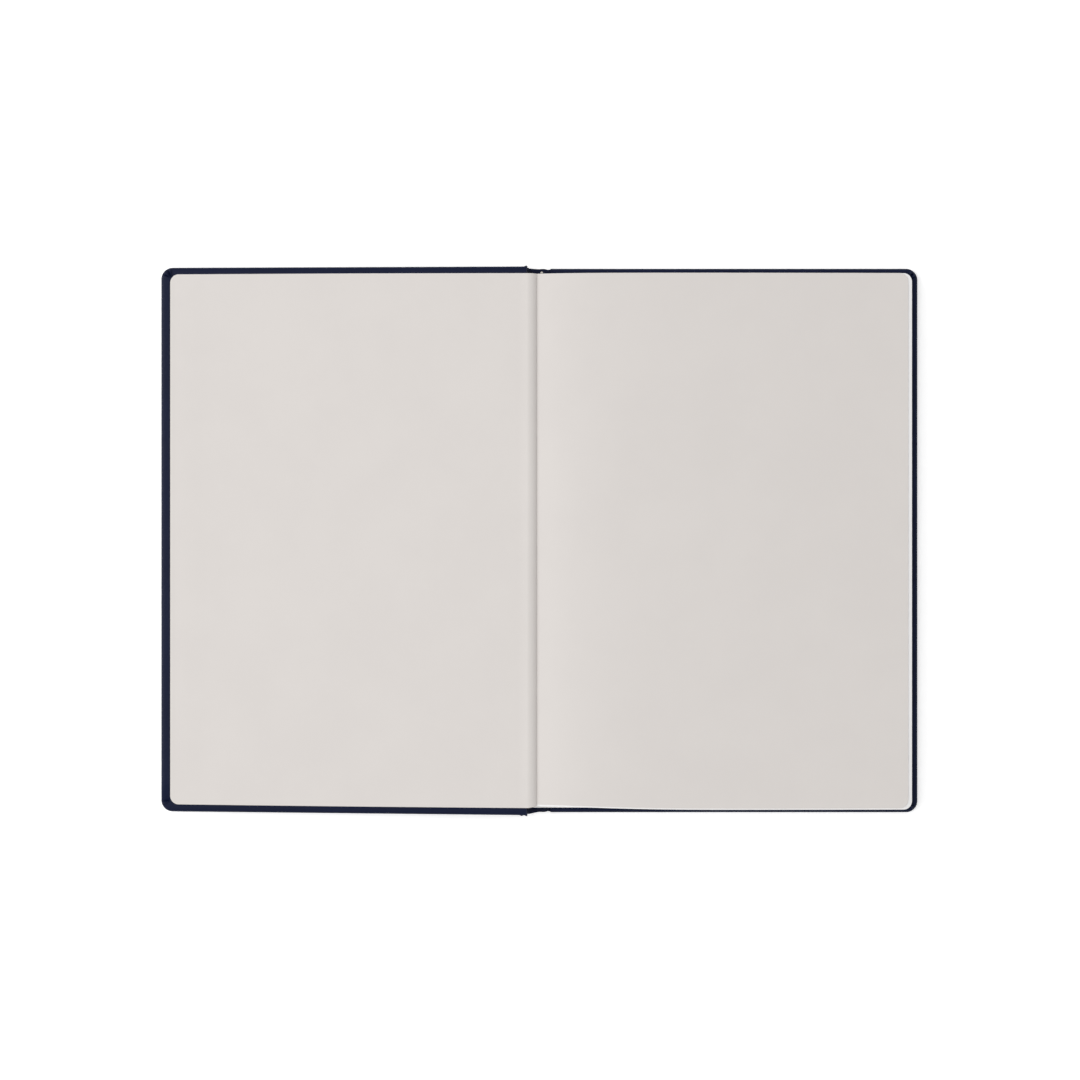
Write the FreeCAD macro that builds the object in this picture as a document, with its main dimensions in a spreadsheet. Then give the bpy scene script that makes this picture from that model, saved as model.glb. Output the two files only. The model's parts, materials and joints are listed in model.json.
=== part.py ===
import FreeCAD, Part
import os
import Sketcher
from FreeCAD import Placement, Rotation, Vector

# A case-bound A5 logbook, open at its first page. The back cover lies flat on the table with the
# text block on it, and the front cover is open to the left, its fore-edge on the table and its
# spine edge held up by the block. Origin: middle of the footprint, on the table.
# +X runs to the back cover's fore-edge, +Y to the head of the pages, +Z up. Millimetres.

SIZES = {
    # Sheets of paper
    "page_width": 148.0,
    "page_height": 210.0,
    "page_corner": 3.3,
    "flyleaf_width": 146.7,
    "spine_x": -2.3,
    # Case
    "board_width": 145.2,
    "case_height": 215.0,
    "case_thickness": 2.5,
    "case_corner": 4.5,
    "cloth": 0.3,
    "turn_in": 15.0,
    "back_edge_x": 4.4,
    "front_edge_x": -4.7,
    "front_edge_height": 12.4,
    "cover_tilt": 3.9,
    # Endpapers
    "pastedown": 0.2,
    "fore_edge_margin": 3.8,
    "joint_overhang": 1.2,
    "mull_on_board": 25.0,
    # Text block
    "block_bottom": 3.0,
    "block_shift": -0.5,
    "back_flyleaf": 0.3,
    "section": 0.85,
    "thread": 0.15,
    "thread_width": 1.2,
    "thread_pitch": 32.0,
    "mull": 0.15,
    "liner": 0.2,
    "lining_margin": 8.0,
    "lining_height": 7.2,
    "band_radius": 0.5,
    "band_x": 1.0,
    # Turning leaves
    "leaf_gap": 0.3,
    "leaf_start_x": 2.2,
    "middle_leaves": 0.4,
    "front_leaves": 0.4,
    "front_flyleaf": 0.2,
    # Mull in the front joint
    "hinge_mull_x": -3.0,
    "hinge_mull_bottom": 8.6,
    "hinge_mull_height": 1.8,
    # Spine panel
    "spine_board": 1.6,
    "spine_width": 15.4,
    "spine_pivot_x": -4.7,
    "spine_pivot_height": 1.2,
    "spine_lean": 66.0,
    # Cloth across the back joint
    "back_joint_start_x": -3.2,
}
SECTIONS = 12
THREADS = 6
RIGHT, LEFT = 1, -1

doc = FreeCAD.newDocument("logbook")


def write_sizes():
    """Put each driving size in the sheet, under its alias."""
    sheet = doc.addObject("Spreadsheet::Sheet", "Sizes")
    for row, (alias, value) in enumerate(SIZES.items(), start=1):
        sheet.set(f"A{row}", alias)
        sheet.set(f"B{row}", str(value))
        sheet.setAlias(f"B{row}", alias)
    doc.recompute()


def size(expression):
    """Name the sheet in front of every alias used in an expression."""
    words = expression.split(" ")
    return " ".join(f"Sizes.{word}" if word in SIZES else word for word in words)


def place(thing, x, y, z, pivot=("0", "0"), angle="0"):
    """Put a piece at x, y, z in a frame turned by angle about +Y at the pivot's x and z."""
    thing.Placement = Placement(Vector(), Rotation(Vector(0, 1, 0), 1))
    turn = size(f"( {angle} )")
    pivot_x, pivot_z = size(pivot[0]), size(pivot[1])
    local_x, local_z = size(f"( {x} )"), size(f"( {z} )")
    cosine, sine = f"cos({turn} * 1 deg)", f"sin({turn} * 1 deg)"
    thing.setExpression(".Placement.Base.x", f"{pivot_x} + {local_x} * {cosine} + {local_z} * {sine}")
    thing.setExpression(".Placement.Base.y", size(y))
    thing.setExpression(".Placement.Base.z", f"{pivot_z} - {local_x} * {sine} + {local_z} * {cosine}")
    thing.setExpression(".Placement.Rotation.Angle", turn)


def rectangle(body, width, depth):
    """Sketch a rectangle on the body's XY plane, one corner on its origin."""
    plane = next(item for item in body.Origin.OriginFeatures if item.Role == "XY_Plane")
    sketch = body.newObject("Sketcher::SketchObject", body.Label + "_outline")
    sketch.AttachmentSupport = (plane, [""])
    sketch.MapMode = "FlatFace"
    corners = [Vector(0, 0), Vector(10, 0), Vector(10, 20), Vector(0, 20)]
    for index, start in enumerate(corners):
        sketch.addGeometry(Part.LineSegment(start, corners[(index + 1) % 4]), False)
    for index in range(4):
        sketch.addConstraint(Sketcher.Constraint("Coincident", index, 2, (index + 1) % 4, 1))
    for index in (0, 2):
        sketch.addConstraint(Sketcher.Constraint("Horizontal", index))
        sketch.addConstraint(Sketcher.Constraint("Vertical", index + 1))
    sketch.addConstraint(Sketcher.Constraint("Coincident", 0, 1, -1, 1))
    wide = sketch.addConstraint(Sketcher.Constraint("DistanceX", 0, 1, 0, 2, 10))
    deep = sketch.addConstraint(Sketcher.Constraint("DistanceY", 1, 1, 1, 2, 20))
    sketch.setExpression(f"Constraints[{wide}]", size(width))
    sketch.setExpression(f"Constraints[{deep}]", size(depth))
    return sketch


def slab(label, x, width, height, z, thickness, corner=None, rounded=RIGHT, shift="0", **frame):
    """Make a flat sheet with its middle at shift on Y, and two rounded corners on one side."""
    body = doc.addObject("PartDesign::Body", label)
    body.Label = label
    pad = body.newObject("PartDesign::Pad", label + "_pad")
    pad.Profile = rectangle(body, width, height)
    pad.setExpression("Length", size(thickness))
    doc.recompute()
    if corner:
        side = pad.Shape.BoundBox.XMax if rounded == RIGHT else pad.Shape.BoundBox.XMin
        edges = [
            f"Edge{number}"
            for number, edge in enumerate(pad.Shape.Edges, start=1)
            if edge.BoundBox.ZLength > 0.9 * pad.Shape.BoundBox.ZLength
            and abs(edge.BoundBox.XMin - side) < 0.001
            and edge.BoundBox.XLength < 0.001
            and edge.BoundBox.YLength < 0.001
        ]
        fillet = body.newObject("PartDesign::Fillet", label + "_corners")
        fillet.Base = (pad, edges)
        fillet.setExpression("Radius", size(corner))
        body.Tip = fillet
    place(body, x, f"{shift} - ( {height} ) / 2", z, **frame)
    return body


def boolean(kind, label, base, tool):
    """Cut a tool from a base, or fuse the two."""
    result = doc.addObject(kind, label)
    result.Label = label
    result.Base = base
    result.Tool = tool
    return result


def cover(name, side, **frame):
    """Make one cover in a frame with its spine edge at x 0 and its inner face at z 0."""

    def sheet(label, near, far, margin, z, thickness, corner=None):
        x = near if side == RIGHT else f"-( {far} )"
        width = f"( {far} ) - ( {near} )"
        height = f"case_height - 2 * ( {margin} )"
        return slab(label, x, width, height, z, thickness, corner, side, **frame)

    turned = "turn_in"
    wrap = sheet(f"{name}_wrap", "0", "board_width", "0", "- case_thickness", "case_thickness", "case_corner")
    board = sheet(f"{name}_board", "0", "board_width - cloth", "cloth", "cloth - case_thickness",
                  "case_thickness - 2 * cloth", "case_corner - cloth")
    window = sheet(f"{name}_window", "0", "board_width - turn_in", turned, "- cloth", "cloth")
    flange = sheet(f"{name}_mull_flange", "0", "mull_on_board", turned, "- cloth", "cloth")
    infill = sheet(f"{name}_infill", "mull_on_board", "board_width - turn_in", turned, "- cloth", "cloth")
    leaf = sheet(f"{name}_leaf", "- joint_overhang", "board_width - fore_edge_margin",
                 "( case_height - page_height ) / 2", "0", "pastedown", "page_corner")
    hollow = boolean("Part::Cut", f"{name}_shell", wrap, board)
    cloth = boolean("Part::Cut", f"{name}_cover_cloth", hollow, window)
    pastedown = boolean("Part::Fuse", f"{name}_pastedown", leaf, infill)
    return [board, cloth, flange, pastedown]


def back_joint_cloth():
    """The covering material across the groove between the spine panel and the back board."""
    return slab("back_joint_cloth", "back_joint_start_x", "back_edge_x - back_joint_start_x",
                "case_height", "0", "cloth")


def leaves(label, x, width, z, thickness):
    """A sheet, or a stack of sheets, cut to the height of the pages."""
    return slab(label, x, width, "page_height", z, thickness, "page_corner", shift="block_shift")


def lining(label, x, thickness, length, z, height):
    """A strip glued along the folds."""
    return slab(label, x, thickness, length, z, height, shift="block_shift")


def text_block():
    """The sewn sections on the back flyleaf, with what is glued to their folds."""
    pieces = [leaves("back_flyleaf", "spine_x", "flyleaf_width", "block_bottom", "back_flyleaf")]
    floor = "block_bottom + back_flyleaf"
    for number in range(SECTIONS):
        pieces.append(leaves(f"section_{number + 1:02d}", "spine_x", "page_width",
                             f"{floor} + {number} * section", "section"))
    length = "page_height - 2 * lining_margin"
    pieces.append(sewing_thread(floor))
    pieces.append(lining("spine_mull", "spine_x - thread - mull", "mull", length, floor, "lining_height"))
    pieces.append(lining("spine_liner", "spine_x - thread - mull - liner", "liner", length, floor,
                         "lining_height"))
    pieces.append(lining("front_mull_hinge", "hinge_mull_x", "liner", "case_height - 2 * turn_in",
                         "hinge_mull_bottom", "hinge_mull_height"))
    pieces.append(band("headband", "block_shift + page_height / 2 + band_radius", floor))
    pieces.append(band("tailband", "block_shift - page_height / 2 - band_radius", floor))
    return pieces


def sewing_thread(floor):
    """The rows of stitches that cross the folds, each one a flat strip."""
    stitches = []
    for number in range(THREADS):
        stitch = doc.addObject("Part::Box", f"stitch_{number + 1}")
        stitch.setExpression("Length", size("thread"))
        stitch.setExpression("Width", size("thread_width"))
        stitch.setExpression("Height", size("lining_height"))
        middle = f"( {number} - ( {THREADS} - 1 ) / 2 ) * thread_pitch"
        place(stitch, "spine_x - thread", f"block_shift + {middle} - thread_width / 2", floor)
        stitches.append(stitch)
    thread = doc.addObject("Part::Compound", "sewing_thread")
    thread.Label = "sewing_thread"
    thread.Links = stitches
    return thread


def band(label, y, floor):
    """A rolled band glued across one end of the folds."""
    roll = doc.addObject("Part::Cylinder", label)
    roll.Label = label
    roll.setExpression("Radius", size("band_radius"))
    roll.setExpression("Height", size("lining_height"))
    place(roll, "band_x", y, floor)
    return roll


def turning_leaves():
    """The flyleaf and the two groups of leaves below it, which turn one on another."""
    block_top = f"block_bottom + back_flyleaf + {SECTIONS} * section"
    middle_z = f"{block_top} + leaf_gap"
    front_z = f"{middle_z} + middle_leaves + leaf_gap"
    flyleaf_z = f"{front_z} + front_leaves + leaf_gap"
    page_width = "page_width + spine_x - leaf_start_x"
    flyleaf_width = "flyleaf_width + spine_x - leaf_start_x"
    return [
        leaves("middle_leaves", "leaf_start_x", page_width, middle_z, "middle_leaves"),
        leaves("front_leaves", "leaf_start_x", page_width, front_z, "front_leaves"),
        leaves("front_flyleaf", "leaf_start_x", flyleaf_width, flyleaf_z, "front_flyleaf"),
    ]


def spine_panel():
    """The stiff strip of the spine and its covering, leaning under the open front cover."""
    frame = {"pivot": ("spine_pivot_x", "spine_pivot_height"), "angle": "- spine_lean"}
    wrap = slab("spine_wrap", "- spine_board / 2 - cloth", "spine_board + 2 * cloth", "case_height",
                "0", "spine_width", **frame)
    board = slab("spine_board", "- spine_board / 2", "spine_board", "case_height - 2 * cloth", "0",
                 "spine_width", **frame)
    window = slab("spine_window", "spine_board / 2", "cloth", "case_height - 2 * turn_in", "0",
                  "spine_width", **frame)
    shell = boolean("Part::Cut", "spine_shell", wrap, board)
    return [board, boolean("Part::Cut", "spine_cloth", shell, window)]


def check():
    """Stop if any object failed."""
    for thing in doc.Objects:
        if {"Invalid", "Error"} & set(thing.State):
            raise RuntimeError(f"{thing.Label}: {thing.State}")


def write(pieces):
    """Write each piece to its own file once every one of them is sound."""
    for piece in pieces:
        if piece.Shape.isNull() or not piece.Shape.isValid():
            raise RuntimeError(f"{piece.Label} has no valid shape")
    os.makedirs("parts", exist_ok=True)
    for piece in pieces:
        piece.Shape.exportStep(f"parts/{piece.Label}.step")
        box = piece.Shape.BoundBox
        print(f"{piece.Label}: x {box.XMin:.2f} {box.XMax:.2f}, y {box.YMin:.2f} {box.YMax:.2f}, "
              f"z {box.ZMin:.2f} {box.ZMax:.2f}, {piece.Shape.Volume:.0f} mm3")


write_sizes()
pieces = cover("back", RIGHT, pivot=("back_edge_x", "case_thickness"))
pieces.append(back_joint_cloth())
pieces += text_block()
pieces += turning_leaves()
pieces += cover("front", LEFT, pivot=("front_edge_x", "front_edge_height"), angle="- cover_tilt")
pieces += spine_panel()
doc.recompute()
check()
write(pieces)
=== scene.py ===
import bpy
import json
import math
import random

import numpy as np
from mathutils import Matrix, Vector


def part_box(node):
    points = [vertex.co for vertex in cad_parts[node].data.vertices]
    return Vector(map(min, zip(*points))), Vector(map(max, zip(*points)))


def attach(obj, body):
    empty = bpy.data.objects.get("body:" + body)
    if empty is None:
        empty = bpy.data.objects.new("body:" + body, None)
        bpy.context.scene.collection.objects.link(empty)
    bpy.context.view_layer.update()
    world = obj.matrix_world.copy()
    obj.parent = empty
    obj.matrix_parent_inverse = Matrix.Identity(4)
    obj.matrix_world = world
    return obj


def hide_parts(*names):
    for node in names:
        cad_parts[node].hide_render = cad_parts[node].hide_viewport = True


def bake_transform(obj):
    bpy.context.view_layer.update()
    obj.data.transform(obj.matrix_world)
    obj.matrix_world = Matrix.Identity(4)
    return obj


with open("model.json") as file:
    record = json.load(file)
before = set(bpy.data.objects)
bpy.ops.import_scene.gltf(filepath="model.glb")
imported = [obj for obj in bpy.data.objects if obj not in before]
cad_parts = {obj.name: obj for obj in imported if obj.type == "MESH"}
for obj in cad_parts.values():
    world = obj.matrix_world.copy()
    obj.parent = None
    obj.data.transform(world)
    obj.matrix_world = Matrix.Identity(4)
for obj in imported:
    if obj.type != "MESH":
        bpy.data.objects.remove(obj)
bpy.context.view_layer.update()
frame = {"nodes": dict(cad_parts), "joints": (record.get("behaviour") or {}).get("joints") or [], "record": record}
random.seed(11)

# Lengths below are in millimetres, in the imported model's frame: +X to the back cover's fore-edge,
# +Y to the head of the pages, +Z up from the table.
MM = 0.001


def low(node):
    """Lowest corner of a CAD node."""
    return np.array(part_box(node)[0]) / MM


def high(node):
    """Highest corner of a CAD node."""
    return np.array(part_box(node)[1]) / MM


# Case, read from the frame
CASE_HALF = high("back_cover_cloth")[1]
CASE_THICK = high("back_cover_cloth")[2]
CASE_WIDTH = high("back_cover_cloth")[0] - low("back_cover_cloth")[0]
BACK_EDGE = low("back_cover_cloth")[0]
CASE_CORNER = 4.5
TURN_IN = 15.0
CLOTH = 0.3
BOARD_THICK = 1.9
COVER_TILT = math.asin((high("front_board")[2] - low("front_board")[2] - BOARD_THICK)
                       / (CASE_WIDTH - CLOTH))
FRONT_EDGE = high("front_cover_cloth")[0] - CASE_THICK * math.sin(COVER_TILT)
FRONT_EDGE_Z = high("front_cover_cloth")[2]

# Paper
SPINE_X = low("section_01")[0]
FORE_EDGE = high("section_01")[0]
FLYLEAF_EDGE = high("front_flyleaf")[0]
PAGE_TAIL = low("section_01")[1]
PAGE_HEAD = high("section_01")[1]
BLOCK_BOTTOM = low("back_flyleaf")[2]
BLOCK_TOP = high("front_flyleaf")[2]
PAGE_CORNER = 3.3
PAPER = 0.16
LEAVES_PER_SECTION = 8
SECTION_ROUND = 0.35
SECTION_GAP = 0.02
BLOCK_UNDER_LEAVES = 0.5
LEAF_GROOVE = 0.09
LEAF_PROUD = 0.05
FLYLEAF_FORE_TRIM = 0.25
FLYLEAF_TAIL_TRIM = 0.55

# Groups of turning leaves: node, body below, body, lowest and highest flat level, leaves
LEAF_GROUPS = (
    ("middle_leaves", "text_block", "middle_leaf_group", 13.98, 14.38, 4),
    ("front_leaves", "middle_leaf_group", "front_leaf_group", 14.42, 15.16, 6),
)

# Lie of the open pages: they rise out of the gutter, swell a little and fall to the fore-edge
GUTTER_X = -0.9
GUTTER_Z = 11.3
PAGE_RISE = 4.15
RISE_LENGTH = 15.0
SWELL_X = 30.0
DROOP = 1.35
DROOP_LENGTH = 115.0
SHOULDER_DROP = 0.9

# How far the tail of the topmost page is drawn up: everywhere, and more towards the gutter
TAIL_LIFT = 0.33
GUTTER_TAIL_LIFT = 1.15
TAIL_LIFT_LENGTH = 35.0

STRAIGHT_COLUMNS = 40
CORNER_COLUMNS = 10


# ---------------------------------------------------------------- materials

class Nodes:
    """A material and short calls that add shader nodes to it."""

    def __init__(self, name, color, roughness, sheen=0.0, specular=0.5):
        self.material = bpy.data.materials.new(name)
        self.material.use_nodes = True
        self.tree = self.material.node_tree
        self.shader = self.tree.nodes["Principled BSDF"]
        self.shader.inputs["Base Color"].default_value = (*color, 1)
        self.shader.inputs["Roughness"].default_value = roughness
        self.shader.inputs["Sheen Weight"].default_value = sheen
        self.shader.inputs["Specular IOR Level"].default_value = specular
        self.object = self.tree.nodes.new("ShaderNodeTexCoord").outputs["Object"]

    def add(self, kind, **values):
        node = self.tree.nodes.new(kind)
        for key, value in values.items():
            setattr(node, key, value)
        return node

    def link(self, source, target):
        self.tree.links.new(source, target)

    def noise(self, scale, detail=4.0):
        node = self.add("ShaderNodeTexNoise")
        node.inputs["Scale"].default_value = scale
        node.inputs["Detail"].default_value = detail
        node.inputs["Roughness"].default_value = 0.55
        self.link(self.object, node.inputs["Vector"])
        return node.outputs["Fac"]

    def cells(self, scale):
        node = self.add("ShaderNodeTexVoronoi", feature="F1")
        node.inputs["Scale"].default_value = scale
        node.inputs["Randomness"].default_value = 1.0
        self.link(self.object, node.inputs["Vector"])
        return node.outputs["Distance"]

    def math(self, operation, first, second=0.0, third=0.0):
        node = self.add("ShaderNodeMath", operation=operation)
        for socket, value in zip(node.inputs, (first, second, third)):
            if isinstance(value, (int, float)):
                socket.default_value = value
            else:
                self.link(value, socket)
        return node.outputs[0]

    def remap(self, value, start, end, low_value, high_value):
        node = self.add("ShaderNodeMapRange", interpolation_type="SMOOTHSTEP")
        for socket, number in zip(node.inputs[1:5], (start, end, low_value, high_value)):
            socket.default_value = number
        self.link(value, node.inputs["Value"])
        return node.outputs["Result"]

    def mix(self, factor, first, second):
        node = self.add("ShaderNodeMix", data_type="RGBA")
        self.link(factor, node.inputs["Factor"])
        for socket, value in ((node.inputs[6], first), (node.inputs[7], second)):
            if isinstance(value, tuple):
                socket.default_value = (*value, 1)
            else:
                self.link(value, socket)
        return node.outputs[2]

    def color(self, value):
        self.link(value, self.shader.inputs["Base Color"])

    def roughness(self, value):
        self.link(value, self.shader.inputs["Roughness"])

    def bump(self, height, distance, strength=1.0):
        node = self.add("ShaderNodeBump")
        node.inputs["Distance"].default_value = distance
        node.inputs["Strength"].default_value = strength
        self.link(height, node.inputs["Height"])
        previous = self.shader.inputs["Normal"].links
        if previous:
            self.link(previous[0].from_socket, node.inputs["Normal"])
        self.link(node.outputs["Normal"], self.shader.inputs["Normal"])


def cover_material():
    """Navy grained covering: fine pebbles, a soft gloss and rubbed high spots."""
    made = Nodes("navy_covering", (0.003, 0.005, 0.027), 0.46, specular=0.15)
    pebble = made.cells(1500.0)
    fine = made.noise(5200.0, 3.0)
    broad = made.noise(34.0, 3.0)
    tone = made.mix(made.remap(broad, 0.3, 0.7, 0.0, 1.0),
                    (0.0021, 0.0054, 0.0245), (0.0029, 0.0068, 0.0290))
    rubbed = made.math("MULTIPLY", made.remap(pebble, 0.35, 0.05, 0.0, 1.0),
                       made.remap(made.noise(120.0, 5.0), 0.5, 0.75, 0.0, 0.35))
    made.color(made.mix(rubbed, tone, (0.024, 0.030, 0.060)))
    made.roughness(made.remap(broad, 0.25, 0.75, 0.45, 0.48))
    made.bump(pebble, 0.00007, 0.7)
    made.bump(fine, 0.00002, 0.6)
    return made.material


TABLE_TINT = (0.76, 0.754, 0.726)
RULE_INK = (0.08, 0.13, 0.23)
RULE_STRENGTH = 0.7


def paper_material(name, light, dark, ruled=False):
    """Uncoated paper: faint fibre cloud, fine tooth, and on ruled sheets a tinted log table."""
    made = Nodes(name, light, 0.82, specular=0.25)
    cloud = made.remap(made.noise(42.0, 5.0), 0.3, 0.7, 0.0, 1.0)
    tone = made.mix(cloud, dark, light)
    if ruled:
        lines, table = log_table(made)
        tone = made.mix(lines, made.mix(table, tone, TABLE_TINT), RULE_INK)
    made.color(tone)
    made.roughness(made.remap(made.noise(300.0, 3.0), 0.3, 0.7, 0.76, 0.88))
    made.bump(made.noise(3600.0, 4.0), 0.00002, 0.5)
    made.bump(made.noise(9.0, 1.0), 0.0004, 0.05)
    return made.material


def log_table(made):
    """Masks of a log table: thin rules, rows every 7 mm and unequal columns, and its tinted ground."""
    row_pitch, line, margin = 0.007, 0.00022, 0.009
    columns = (0.010, 0.026, 0.052, 0.066, 0.080, 0.094, 0.108, 0.122, 0.138)
    split = made.add("ShaderNodeSeparateXYZ")
    made.link(made.add("ShaderNodeUVMap", uv_map="page").outputs["UV"], split.inputs[0])
    across, along = split.outputs[0], split.outputs[1]
    top = PAGE_HEAD * MM - margin
    bottom = PAGE_TAIL * MM + margin
    row = made.math("LESS_THAN", made.math("PINGPONG", along, row_pitch / 2), line)
    column = None
    for place in columns:
        here = made.math("COMPARE", across, place, line)
        column = here if column is None else made.math("MAXIMUM", column, here)
    inside = made.math("MULTIPLY", made.math("GREATER_THAN", along, bottom),
                       made.math("LESS_THAN", along, top))
    within = made.math("MULTIPLY", made.math("GREATER_THAN", across, columns[0]),
                       made.math("LESS_THAN", across, columns[-1] + line))
    table = made.math("MULTIPLY", inside, within)
    mask = made.math("MULTIPLY", made.math("MAXIMUM", row, column), table)
    return made.math("MULTIPLY", mask, RULE_STRENGTH), table


def weave_material(name, color, gap_color, threads, depth):
    """Plain weave: crossing threads about two to the millimetre, with dark gaps between."""
    made = Nodes(name, color, 0.85, sheen=0.2, specular=0.2)
    lines = []
    for axis in ("Y", "Z"):
        wave = made.add("ShaderNodeTexWave", wave_type="BANDS", bands_direction=axis)
        wave.inputs["Scale"].default_value = threads
        wave.inputs["Distortion"].default_value = 0.6
        made.link(made.object, wave.inputs["Vector"])
        lines.append(wave.outputs["Fac"])
    height = made.math("MAXIMUM", *lines)
    made.color(made.mix(made.remap(height, 0.35, 0.7, 0.0, 1.0), gap_color, color))
    made.bump(height, depth)
    return made.material


def board_material():
    """Greyboard: pressed fibres with paler and darker flecks."""
    made = Nodes("greyboard", (0.30, 0.28, 0.25), 0.9, specular=0.2)
    fleck = made.remap(made.noise(900.0, 5.0), 0.4, 0.65, 0.0, 1.0)
    made.color(made.mix(fleck, (0.22, 0.20, 0.18), (0.36, 0.34, 0.31)))
    made.bump(made.noise(1500.0, 4.0), 0.00005)
    return made.material


def kraft_material():
    """Brown kraft paper with long fibres."""
    made = Nodes("kraft_paper", (0.32, 0.20, 0.11), 0.8, specular=0.25)
    fibre = made.remap(made.noise(700.0, 6.0), 0.35, 0.65, 0.0, 1.0)
    made.color(made.mix(fibre, (0.26, 0.16, 0.085), (0.37, 0.24, 0.14)))
    made.bump(made.noise(2400.0, 4.0), 0.00002)
    return made.material


def thread_material(name, color, shade, pitch):
    """Twisted yarn: slanting strands along Z."""
    made = Nodes(name, color, 0.7, sheen=0.3, specular=0.3)
    wave = made.add("ShaderNodeTexWave", wave_type="BANDS", bands_direction="DIAGONAL")
    wave.inputs["Scale"].default_value = pitch
    made.link(made.object, wave.inputs["Vector"])
    made.color(made.mix(wave.outputs["Fac"], shade, color))
    made.bump(wave.outputs["Fac"], 0.00008)
    return made.material


COVERING = cover_material()
ENDPAPER = paper_material("endpaper", (0.680, 0.645, 0.619), (0.668, 0.633, 0.608))
TEXT_TONES = ((0.88, 0.873, 0.87), (0.86, 0.853, 0.85))
TEXT_PAPER = paper_material("text_paper", *TEXT_TONES)
RULED_PAPER = paper_material("ruled_paper", *TEXT_TONES, ruled=True)
MULL = weave_material("mull", (0.72, 0.69, 0.60), (0.30, 0.27, 0.22), 260.0, 0.00012)
BAND = weave_material("band", (0.52, 0.50, 0.46), (0.30, 0.28, 0.24), 420.0, 0.00015)
SLOT_MATERIALS = {
    "cover_cloth": COVERING,
    "greyboard": board_material(),
    "endpaper": ENDPAPER,
    "text_paper": TEXT_PAPER,
    "mull": MULL,
    "thread": thread_material("linen_thread", (0.80, 0.76, 0.66), (0.50, 0.45, 0.36), 900.0),
    "kraft": kraft_material(),
    "band": BAND,
}


def dress_cad_nodes():
    """Give each carried-over CAD node the material of its slot."""
    for entry in frame["record"]["subparts"]:
        data = frame["nodes"][entry["node"]].data
        data.materials.clear()
        data.materials.append(SLOT_MATERIALS[entry["material_slot"]])


# ---------------------------------------------------------------- mesh helpers

def make_piece(name, vertices, faces, material, smooth_angle=35.0):
    """Turn vertices in millimetres and faces into a piece with outward normals."""
    mesh = bpy.data.meshes.new(name)
    mesh.from_pydata([tuple(np.array(v) * MM) for v in vertices], [], faces)
    mesh.validate()
    obj = bpy.data.objects.new(name, mesh)
    bpy.context.scene.collection.objects.link(obj)
    bpy.context.view_layer.objects.active = obj
    obj.select_set(True)
    bpy.ops.object.mode_set(mode="EDIT")
    bpy.ops.mesh.select_all(action="SELECT")
    bpy.ops.mesh.normals_make_consistent(inside=False)
    bpy.ops.object.mode_set(mode="OBJECT")
    obj.select_set(False)
    mesh.shade_smooth()
    mesh.set_sharp_from_angle(angle=math.radians(smooth_angle))
    mesh.materials.append(material)
    return obj


def loft(rings):
    """Vertices and faces of a closed solid through rings of equal length, capped at both ends."""
    count = len(rings[0])
    vertices = [point for ring in rings for point in ring]
    faces = []
    for level in range(len(rings) - 1):
        base = level * count
        for index in range(count):
            after = (index + 1) % count
            faces.append((base + index, base + after, base + count + after, base + count + index))
    faces.append(tuple(range(count))[::-1])
    last = (len(rings) - 1) * count
    faces.append(tuple(last + index for index in range(count)))
    return vertices, faces


def strip(path, tail, head, thickness):
    """A thin sheet along a path in X and Z, between two lines of Y, thickened below the path."""
    path = np.array(path, float)
    tangent = np.gradient(path, axis=0)
    tangent /= np.linalg.norm(tangent, axis=1)[:, None]
    normal = np.stack([-tangent[:, 1], tangent[:, 0]], axis=1)
    if normal[:, 1].mean() < 0:
        normal = -normal
    below = path - normal * thickness
    vertices, faces = [], []
    for index in range(len(path)):
        for (x, z) in (path[index], below[index]):
            vertices += [(x, tail[index], z), (x, head[index], z)]
    for index in range(len(path) - 1):
        a, b = index * 4, index * 4 + 4
        faces += [(a, b, b + 1, a + 1), (a + 2, a + 3, b + 3, b + 2)]
        faces += [(a, a + 2, b + 2, b), (a + 1, b + 1, b + 3, a + 3)]
    end = (len(path) - 1) * 4
    faces += [(0, 1, 3, 2), (end, end + 2, end + 3, end + 1)]
    return vertices, faces


def curve(points, count):
    """Points along a Bezier curve in X and Z."""
    points = np.array(points, float)
    order = len(points) - 1
    steps = np.linspace(0, 1, count)
    weights = [math.comb(order, k) * steps ** k * (1 - steps) ** (order - k)
               for k in range(order + 1)]
    return sum(weight[:, None] * point for weight, point in zip(weights, points))


# ---------------------------------------------------------------- pages

def page_top(x):
    """Height of the open page at x."""
    rise = PAGE_RISE * (1 - np.exp(-np.maximum(x - GUTTER_X, 0) / RISE_LENGTH))
    droop = DROOP * (np.maximum(x - SWELL_X, 0) / DROOP_LENGTH) ** 2
    shoulder = SHOULDER_DROP * (np.maximum(GUTTER_X - x, 0) / (GUTTER_X - SPINE_X)) ** 2
    return GUTTER_Z + rise - droop - shoulder


def settled(x, level):
    """Height to which a flat level of the block settles at x when the book lies open."""
    share = (level - BLOCK_BOTTOM) / (BLOCK_TOP - BLOCK_BOTTOM)
    return BLOCK_BOTTOM + share * (page_top(x) - BLOCK_BOTTOM)


def tail_lift(x):
    """How far the tail of the topmost page is drawn up at x, most of all at the gutter."""
    return TAIL_LIFT + GUTTER_TAIL_LIFT * np.exp(-(x / TAIL_LIFT_LENGTH) ** 2)


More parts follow.
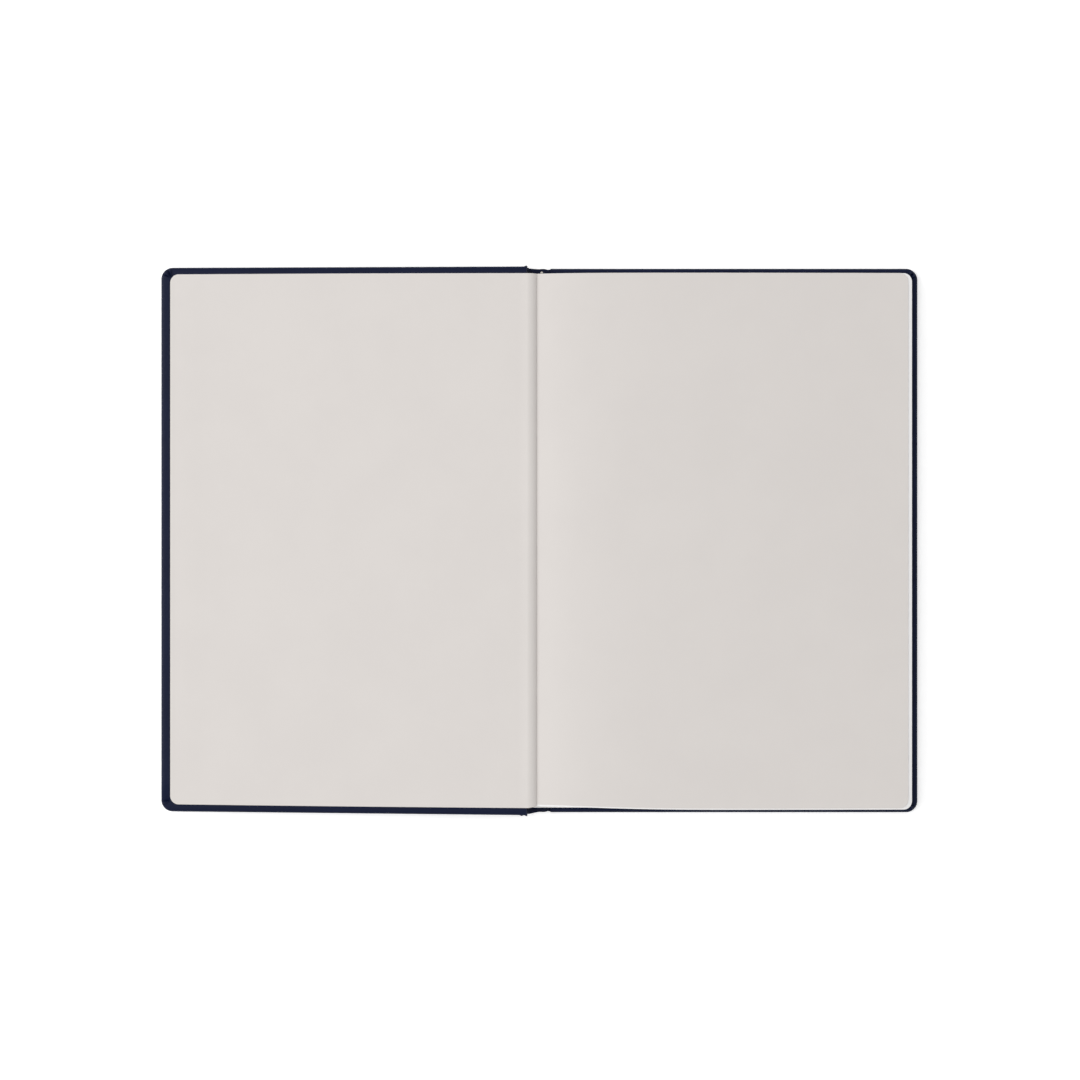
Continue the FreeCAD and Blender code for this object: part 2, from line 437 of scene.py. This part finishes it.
def stack(name, near, far, tail, head, levels, material):
    """Sheets lying together. Each level is its height, its inset all round and its inset at the fold."""
    turn = np.linspace(0, math.pi / 2, CORNER_COLUMNS)[1:]
    vertices, faces = [], []
    columns = STRAIGHT_COLUMNS + len(turn)
    for level, inset, fold in levels:
        radius = PAGE_CORNER - inset
        start = near + fold
        spread = np.linspace(0, 1, STRAIGHT_COLUMNS) ** 1.8
        x = start + (far - PAGE_CORNER - start) * spread
        x = np.concatenate([x, far - PAGE_CORNER + radius * np.sin(turn)])
        cut = inset + np.concatenate([np.zeros(STRAIGHT_COLUMNS), radius * (1 - np.cos(turn))])
        z = settled(x, level)
        bottom = tail + cut + tail_lift(x) * (level - BLOCK_BOTTOM) / (BLOCK_TOP - BLOCK_BOTTOM)
        vertices += [(x[i], bottom[i], z[i]) for i in range(columns)]
        vertices += [(x[i], head - cut[i], z[i]) for i in range(columns)]
    ring = 2 * columns
    for index in range(len(levels) - 1):
        base, up = index * ring, (index + 1) * ring
        for i in range(columns - 1):
            faces.append((base + i, base + i + 1, up + i + 1, up + i))
            j = columns + i
            faces.append((base + j + 1, base + j, up + j, up + j + 1))
        faces.append((base + columns, base, up, up + columns))
        end = columns - 1
        faces.append((base + end, base + end + columns, up + end + columns, up + end))
    top = (len(levels) - 1) * ring
    for i in range(columns - 1):
        faces.append((i + 1, i, columns + i, columns + i + 1))
        faces.append((top + i, top + i + 1, top + columns + i + 1, top + columns + i))
    piece = make_piece(name, vertices, faces, material, 30.0)
    map_page(piece)
    return piece


def map_page(piece):
    """Lay the page map flat over the sheet's two faces and park its edges outside the table."""
    layer = piece.data.uv_layers.new(name="page")
    for polygon in piece.data.polygons:
        flat = abs(polygon.normal.z) > 0.5
        for loop in polygon.loop_indices:
            place = piece.data.vertices[piece.data.loops[loop].vertex_index].co
            layer.data[loop].uv = (place.x, place.y) if flat else (-1.0, -1.0)


def leaf_levels(bottom, top, leaves, rounded):
    """Levels of a stack: each leaf's edge stands a hair proud of the line between it and the next."""
    levels = []
    thick = (top - bottom) / leaves
    for leaf in range(leaves):
        proud = random.uniform(0.0, LEAF_PROUD)
        for share, inset in ((0.0, LEAF_GROOVE), (0.22, proud), (0.78, proud)):
            level = bottom + (leaf + share) * thick
            levels.append((level, inset, fold_inset(level, bottom, top, rounded)))
    levels.append((top, LEAF_GROOVE, fold_inset(top, bottom, top, rounded)))
    return levels


def fold_inset(level, bottom, top, depth):
    """How far a folded section draws back from its fold at a level."""
    across = 2 * (level - bottom) / (top - bottom) - 1
    return depth * (1 - math.sqrt(max(0.0, 1 - across * across)))


def text_block():
    """The sewn sections and the back flyleaf below them."""
    sections = sorted(node for node in frame["nodes"] if node.startswith("section_"))
    crown = low("front_leaves")[2] - BLOCK_UNDER_LEAVES
    base = low(sections[0])[2]
    for index, node in enumerate(sections):
        bottom = base + (crown - base) * index / len(sections)
        top = base + (crown - base) * (index + 1) / len(sections)
        last = index == len(sections) - 1
        piece = stack(node + "_pages", SPINE_X, FORE_EDGE, PAGE_TAIL, PAGE_HEAD,
                      leaf_levels(bottom, top - SECTION_GAP, LEAVES_PER_SECTION, SECTION_ROUND),
                      RULED_PAPER if last else TEXT_PAPER)
        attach(piece, "text_block")
        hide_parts(node)
    piece = stack("back_flyleaf_sheet", SPINE_X, FLYLEAF_EDGE, PAGE_TAIL, PAGE_HEAD,
                  [(BLOCK_BOTTOM, 0, 0), (base - 0.05, 0, 0)], ENDPAPER)
    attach(piece, "text_block")
    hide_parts("back_flyleaf")


def turning_leaves():
    """The flyleaf and the two groups below it, each curved to rise out of the gutter and resting above the one
    below.
    """
    for node, below, body, bottom, top, leaves in LEAF_GROUPS:
        piece = stack(node + "_sheets", GUTTER_X, FORE_EDGE, PAGE_TAIL, PAGE_HEAD,
                      leaf_levels(bottom, top, leaves, 0.0), RULED_PAPER)
        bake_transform(piece)
        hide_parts(node)
    piece = stack("front_flyleaf_sheet", GUTTER_X, FLYLEAF_EDGE - FLYLEAF_FORE_TRIM,
                  PAGE_TAIL + FLYLEAF_TAIL_TRIM, PAGE_HEAD,
                  [(BLOCK_TOP - 0.2, 0.03, 0), (BLOCK_TOP - 0.17, 0, 0), (BLOCK_TOP - 0.03, 0, 0),
                   (BLOCK_TOP, 0.03, 0)], ENDPAPER)
    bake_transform(piece)
    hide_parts("front_flyleaf")


# ---------------------------------------------------------------- covers

class Cover:
    """One cover: u runs from its spine edge to its fore-edge, v to the head, n out of its inner face."""

    def __init__(self, name, edge, tilt, side, askew, folds, gathers):
        self.name = name
        self.edge = np.array([edge[0], 0.0, edge[1]])
        self.along = np.array([side * math.cos(tilt), 0.0, -math.sin(tilt)])
        self.out = np.array([side * math.sin(tilt), 0.0, math.cos(tilt)])
        self.askew = askew
        self.folds = folds
        self.gathers = gathers

    def place(self, u, v, n):
        """A point of the cover, in the frame."""
        shift = self.askew[0] + (self.askew[1] - self.askew[0]) * u / CASE_WIDTH
        return self.edge + self.along * u + self.out * n + np.array([0.0, v + shift, 0.0])


CORNER_STEPS = 36
SIDE_STEPS = 60
FORE_EDGE_STEPS = 24

# Folds of the covering at a corner, by angle in degrees: a ridge with a crease beside it
RIDGE_HEIGHT, RIDGE_WIDTH = 0.60, 6.5
CREASE_DEPTH, CREASE_WIDTH, CREASE_OFFSET = 0.35, 4.5, 12.0
FOLD_FADE_IN = 0.5
FOLD_INSET_END, FOLD_FADE_OUT = 3.9, 1.2
GATHER_REACH, GATHER_WIDTH = 0.38, 0.5

# Endpapers pasted on the covers: their margin at the fore-edge, and the front one's tail and head
FORE_EDGE_MARGIN = 3.8
FRONT_SHEET_TAIL, FRONT_SHEET_HEAD = -104.55, 104.75
SHEET_ABOVE_BOARD = 0.22
SHEET_SUNK = 0.10
SHEET_BOW = 0.12

COVER_PROFILE = (
    # inset from the outline, height above the inner face
    (TURN_IN, -CASE_THICK), (6.0, -CASE_THICK), (1.0, -CASE_THICK), (0.5, -CASE_THICK + 0.13),
    (0.15, -CASE_THICK + 0.5), (0.0, -CASE_THICK + 0.95), (0.0, -1.0), (0.13, -0.55), (0.42, -0.18),
    (0.85, -0.02), (1.4, 0.03), (2.1, 0.04), (2.9, 0.03), (3.8, 0.02), (5.0, 0.0), (7.0, 0.0),
    (10.0, 0.0), (13.6, 0.0), (TURN_IN, -0.24),
)


def fold_height(cover, corner, angle, inset):
    """Height that the covering gathers to where it is folded in round a corner."""
    height = 0.0
    for fold in cover.folds[corner]:
        ridge = math.exp(-((angle - fold) / RIDGE_WIDTH) ** 2)
        crease = math.exp(-((angle - fold - CREASE_OFFSET) / CREASE_WIDTH) ** 2)
        height += RIDGE_HEIGHT * ridge - CREASE_DEPTH * crease
    fade = min(1.0, inset / FOLD_FADE_IN) * min(1.0, max(0.0, FOLD_INSET_END - inset) / FOLD_FADE_OUT)
    return height * fade


def cover_ring(cover, inset, height):
    """One closed line round the cover at an inset from its outline."""
    near = min(inset, 0.35)
    far = CASE_WIDTH - inset
    half = CASE_HALF - inset
    radius = max(CASE_CORNER - inset, 0.5)
    upper = height > -0.6
    ring = []
    share = np.linspace(0, 1, SIDE_STEPS)[:-1]
    side = near + (far - radius - near) * (share - np.sin(2 * np.pi * share) / (2 * np.pi))
    for u in side:
        ring.append(cover.place(u, -half - gathered(cover, "tail", u), height))
    for corner, sign in (("tail", -1), ("head", 1)):
        for step in range(CORNER_STEPS + 1):
            angle = step / CORNER_STEPS * 90.0
            turn = math.radians(angle if sign < 0 else 90.0 - angle)
            lift = fold_height(cover, corner, math.degrees(turn), inset) if upper else 0.0
            u = far - radius + radius * math.sin(turn)
            v = sign * (half - radius + radius * math.cos(turn))
            ring.append(cover.place(u, v, height + lift))
        if sign < 0:
            for share in np.linspace(0, 1, FORE_EDGE_STEPS)[1:-1]:
                ring.append(cover.place(far, (half - radius) * (2 * share - 1), height))
    for u in side[::-1]:
        ring.append(cover.place(u, half + gathered(cover, "head", u), height))
    return ring


def gathered(cover, end, u):
    """How far the covering stands out where it is gathered at the end of the joint."""
    return sum(GATHER_REACH * math.exp(-((u - place) / GATHER_WIDTH) ** 2)
               for place in cover.gathers[end])


def cover_cloth(cover, body):
    """The covering wrapped round a board, turned in on three sides and pleated at its corners."""
    rings = [cover_ring(cover, inset, height) for inset, height in COVER_PROFILE]
    vertices, faces = loft(rings)
    piece = make_piece(cover.name + "_cover_wrap", vertices, faces, COVERING, 50.0)
    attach(piece, body)
    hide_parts(cover.name + "_cover_cloth", cover.name + "_board")


def endpaper_outline(u, edge, tail, head):
    """The tail and head of a pasted sheet at u, round at its two outer corners."""
    into = np.clip(u - (edge - PAGE_CORNER), 0, PAGE_CORNER)
    cut = PAGE_CORNER - np.sqrt(np.maximum(PAGE_CORNER ** 2 - into ** 2, 0))
    sway = SHEET_BOW * np.sin(np.pi * np.clip(u / edge, 0, 1))
    return tail + cut - sway, head - cut + sway


def pasted_sheet(cover, edge, tail, head, joint):
    """The endpaper pasted to a cover, on over the joint to the gutter."""
    arc = edge - PAGE_CORNER * (1 - np.sin(np.linspace(math.pi / 2, 0, 12)))
    steps = np.concatenate([arc, np.linspace(edge - PAGE_CORNER, 0.4, 46)[1:]])
    sunk = SHEET_SUNK * (1 / (1 + np.exp((steps - (CASE_WIDTH - TURN_IN)) / 0.5)))
    path = [cover.place(u, 0, SHEET_ABOVE_BOARD - drop)[[0, 2]] for u, drop in zip(steps, sunk)]
    low_y, high_y = endpaper_outline(steps, edge, tail, head)
    shift = [cover.place(u, 0, 0)[1] for u in steps]
    bend = curve(joint, 14)[1:]
    path = np.concatenate([path, bend])
    settle = np.linspace(0, 1, len(bend))
    fold_tail = PAGE_TAIL + tail_lift(SPINE_X)
    low_y, high_y = low_y + shift, high_y + shift
    low_y = np.concatenate([low_y, low_y[-1] * (1 - settle) + fold_tail * settle])
    high_y = np.concatenate([high_y, high_y[-1] * (1 - settle) + PAGE_HEAD * settle])
    vertices, faces = strip(path, low_y, high_y, PAPER)
    return make_piece(cover.name + "_endpaper", vertices, faces, ENDPAPER, 40.0)


# The joint's cloth in X and Z while the book is open: from the top of the spine strip, under the
# front board and up its spine edge; and the line along which it passes from one to the other
JOINT_FOLD = ((-19.5, 7.3), (-19.4, 8.5), (-16.0, 8.7), (-7.2, 8.85), (-6.0, 9.5), (-4.0, 9.3),
              (-4.45, 11.0))
JOINT_REACH = 107.0
JOINT_PINCH = 0.25


def front_cover():
    """The open front cover with its pastedown and the cloth behind the joint."""
    cover = Cover("front", (FRONT_EDGE, FRONT_EDGE_Z), COVER_TILT, -1, (-0.13, 0.37),
                  {"head": (12.0, 47.0), "tail": (72.0,)}, {"head": (0.5,), "tail": (0.4, 2.3)})
    cover_cloth(cover, "front_cover")
    joint = [(FRONT_EDGE - 0.4, FRONT_EDGE_Z + 0.2), (FRONT_EDGE + 1.4, FRONT_EDGE_Z + 0.25),
             (GUTTER_X - 1.2, FRONT_EDGE_Z + 0.1), (GUTTER_X - 0.3, GUTTER_Z + 0.45),
             (GUTTER_X + 0.1, GUTTER_Z - 0.25)]
    sheet = pasted_sheet(cover, CASE_WIDTH - FORE_EDGE_MARGIN, FRONT_SHEET_TAIL, FRONT_SHEET_HEAD, joint)
    # The sheet keeps close to the cover all the way to the gutter, so it lies on the leaves when shut
    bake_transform(sheet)
    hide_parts("front_pastedown", "front_mull_flange")
    front_joint_cloth()


def front_joint_cloth():
    """The covering across the joint between the spine strip and the front board."""
    path = curve(JOINT_FOLD, 34)
    reach = JOINT_REACH - JOINT_PINCH * np.exp(-((path[:, 0] + 11.0) / 5.0) ** 2)
    vertices, faces = strip(path, -reach, reach, CLOTH)
    cloth = make_piece("front_joint_cloth", vertices, faces, COVERING, 60.0)
    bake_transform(cloth)


def back_cover():
    """The back cover on the table with its pastedown."""
    cover = Cover("back", (BACK_EDGE, CASE_THICK), 0.0, 1, (0.0, 0.0),
                  {"head": (35.0, 60.0), "tail": (45.0,)}, {"head": (), "tail": ()})
    cover_cloth(cover, "back_cover")
    joint = [(BACK_EDGE + 0.4, CASE_THICK + 0.2), (BACK_EDGE - 0.6, CASE_THICK + 0.2),
             (BACK_EDGE - 1.8, CASE_THICK + 0.1), (SPINE_X + 3.0, CASE_THICK + 0.1)]
    sheet = pasted_sheet(cover, CASE_WIDTH - FORE_EDGE_MARGIN, PAGE_TAIL, PAGE_HEAD, joint)
    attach(sheet, "back_cover")
    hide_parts("back_pastedown", "back_mull_flange")


# ---------------------------------------------------------------- spine

SPINE_LEAN = 66.0
SPINE_HALF_THICK = 1.1
SPINE_BOW = 0.22
GROOVE_REACH = 107.35
# The covering of the groove slants in from the front board's corner, most of all at the tail
SLANT_REACH, SLANT_END, SLANT_LENGTH, SLANT_AT_HEAD = 0.9, 0.4, 4.4, 0.4


def spine():
    """The covering round the spine strip, and across the groove to the back cover."""
    joint = next(item for item in frame["joints"] if item["name"] == "spine_hinge")
    pivot = np.array([joint["pos_m"][0], joint["pos_m"][2]]) / MM
    spine_strip(pivot)
    groove_covering(pivot)


def spine_strip(pivot):
    """The stiff strip in its covering, leaning out from the pivot."""
    top = (low("spine_board")[0] + 1.0 - pivot[0], high("spine_board")[2] - 1.0 - pivot[1])
    length = math.hypot(*top) + 0.6
    lean = math.radians(SPINE_LEAN)
    up = np.array([-math.sin(lean), math.cos(lean)])
    side = np.array([math.cos(lean), math.sin(lean)])
    half = SPINE_HALF_THICK
    outline = []
    for step in range(13):
        angle = math.pi * step / 12
        outline.append((half * math.cos(angle), length - half + half * math.sin(angle)))
    bow = [(-half - SPINE_BOW * math.sin(math.pi * share), (length - half) * (1 - share))
           for share in np.linspace(0, 1, 12)[1:]]
    outline += bow + [(half, 0.0)]
    rings = []
    for y, shrink in ((-CASE_HALF, 0.45), (-CASE_HALF + 0.12, 0.2), (-CASE_HALF + 0.4, 0.0),
                      (CASE_HALF - 0.4, 0.0), (CASE_HALF - 0.12, 0.2), (CASE_HALF, 0.45)):
        ring = []
        for across, along in outline:
            across = across * (1 - shrink * 0.5)
            place = pivot + side * across + up * (along + shrink * 0.4 * (1 if along < 3 else -1))
            ring.append((place[0], y, place[1]))
        rings.append(ring)
    vertices, faces = loft(rings)
    piece = make_piece("spine_covering", vertices, faces, COVERING, 50.0)
    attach(piece, "spine_panel")
    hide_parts("spine_cloth", "spine_board")


def groove_covering(pivot):
    """The covering across the groove, from the back cover to the spine strip, in its shape while the book lies
    open.
    """
    path = curve([(BACK_EDGE + 1.2, 0.32), (BACK_EDGE - 1.0, 0.32), (1.0, 0.55), (-2.0, 0.5),
                  (pivot[0] + 0.6, 0.75), (pivot[0] - 1.0, pivot[1] + 0.1)], 26)
    x = path[:, 0]
    bump = 0.22 * np.exp(-((x - 1.5) / 1.3) ** 2) - 0.15 * np.exp(-((x - 3.4) / 0.6) ** 2)
    reach = GROOVE_REACH + bump
    slant = SLANT_REACH * np.clip((SLANT_END - x) / SLANT_LENGTH, 0, 1)
    vertices, faces = strip(path, -reach - slant, reach + SLANT_AT_HEAD * slant, CLOTH)
    groove = make_piece("back_joint_covering", vertices, faces, COVERING, 40.0)
    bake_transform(groove)
    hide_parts("back_joint_cloth")


# The tailband goes this far in from its CAD node, into the ends of the sections, so that it does not
# show past the top page
TAILBAND_TUCK = 2.2


def band_roll(node, tuck):
    """A rolled band whose threads wind round its core, moved in on Y by tuck."""
    bottom, top = low(node), high(node)
    middle = (bottom + top) / 2
    radius = (top[0] - bottom[0]) / 2
    turns, points = 16, 18
    rings = []
    for step in range(turns * 4 + 1):
        share = step / (turns * 4)
        swell = radius * (0.86 + 0.14 * abs(math.sin(share * turns * math.pi)))
        z = bottom[2] + (top[2] - bottom[2]) * share
        rings.append([(middle[0] + swell * math.cos(2 * math.pi * k / points),
                       middle[1] + tuck + swell * math.sin(2 * math.pi * k / points), z)
                      for k in range(points)])
    vertices, faces = loft(rings)
    piece = make_piece(node + "_roll", vertices, faces, BAND, 60.0)
    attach(piece, "text_block")
    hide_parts(node)


# ---------------------------------------------------------------- stage

# Stage, in metres
FLOOR_SIZE = 80.0
FLOOR_Z = -0.0002
FLOOR_GLOW = 0.38
# Light from the world: strength up to one height of the sky, then less up to the other
SKY_FALL = (0.35, 0.85, 1.0, 0.47)
# Soft boxes: place, size, power
LIGHTS = {"key": ((-2.8, 0.4, 2.0), 2.2, 66.0), "gloss": ((-0.5, 0.05, 1.5), 0.5, 2.0)}
CAMERA_PLACE = (0.0003, 0.0002, 1.0009)
CAMERA_LENS = 84.2


def stage():
    """Pale floor, soft light from the left and the camera straight above."""
    bpy.ops.mesh.primitive_plane_add(size=FLOOR_SIZE, location=(0, 0, FLOOR_Z))
    floor = bpy.context.object
    floor.name = "floor"
    paint = Nodes("floor_paint", (0.94, 0.94, 0.94), 0.9, specular=0.1)
    paint.color(paint.mix(paint.noise(3.0), (0.935, 0.935, 0.935), (0.945, 0.945, 0.945)))
    paint.shader.inputs["Emission Color"].default_value = (1, 1, 1, 1)
    paint.shader.inputs["Emission Strength"].default_value = FLOOR_GLOW
    floor.data.materials.append(paint.material)

    light_world()

    for name, (place, size, power) in LIGHTS.items():
        add_light(name, place, size, power)

    camera = bpy.data.objects.new("camera", bpy.data.cameras.new("camera"))
    camera.data.lens = CAMERA_LENS
    camera.data.sensor_width = 36.0
    camera.location = CAMERA_PLACE
    bpy.context.scene.collection.objects.link(camera)
    bpy.context.scene.camera = camera
    bpy.context.scene.view_settings.view_transform = "Standard"


def light_world():
    """White light all round, full at the horizon and softer overhead."""
    world = bpy.data.worlds.new("studio")
    bpy.context.scene.world = world
    world.use_nodes = True
    nodes, links = world.node_tree.nodes, world.node_tree.links
    background = nodes["Background"]
    background.inputs["Color"].default_value = (1, 1, 1, 1)
    split = nodes.new("ShaderNodeSeparateXYZ")
    links.new(nodes.new("ShaderNodeTexCoord").outputs["Generated"], split.inputs[0])
    fall = nodes.new("ShaderNodeMapRange")
    fall.interpolation_type = "SMOOTHSTEP"
    for socket, number in zip(fall.inputs[1:5], SKY_FALL):
        socket.default_value = number
    links.new(split.outputs[2], fall.inputs["Value"])
    links.new(fall.outputs["Result"], background.inputs["Strength"])


def add_light(name, location, size, power):
    """A square soft box that faces the middle of the book."""
    lamp = bpy.data.lights.new(name, "AREA")
    lamp.size = size
    lamp.energy = power
    light = bpy.data.objects.new(name, lamp)
    light.location = location
    light.rotation_euler = (-light.location).to_track_quat("-Z", "Y").to_euler()
    bpy.context.scene.collection.objects.link(light)


dress_cad_nodes()
text_block()
turning_leaves()
front_cover()
back_cover()
spine()
band_roll("headband", 0.0)
band_roll("tailband", TAILBAND_TUCK)
stage()
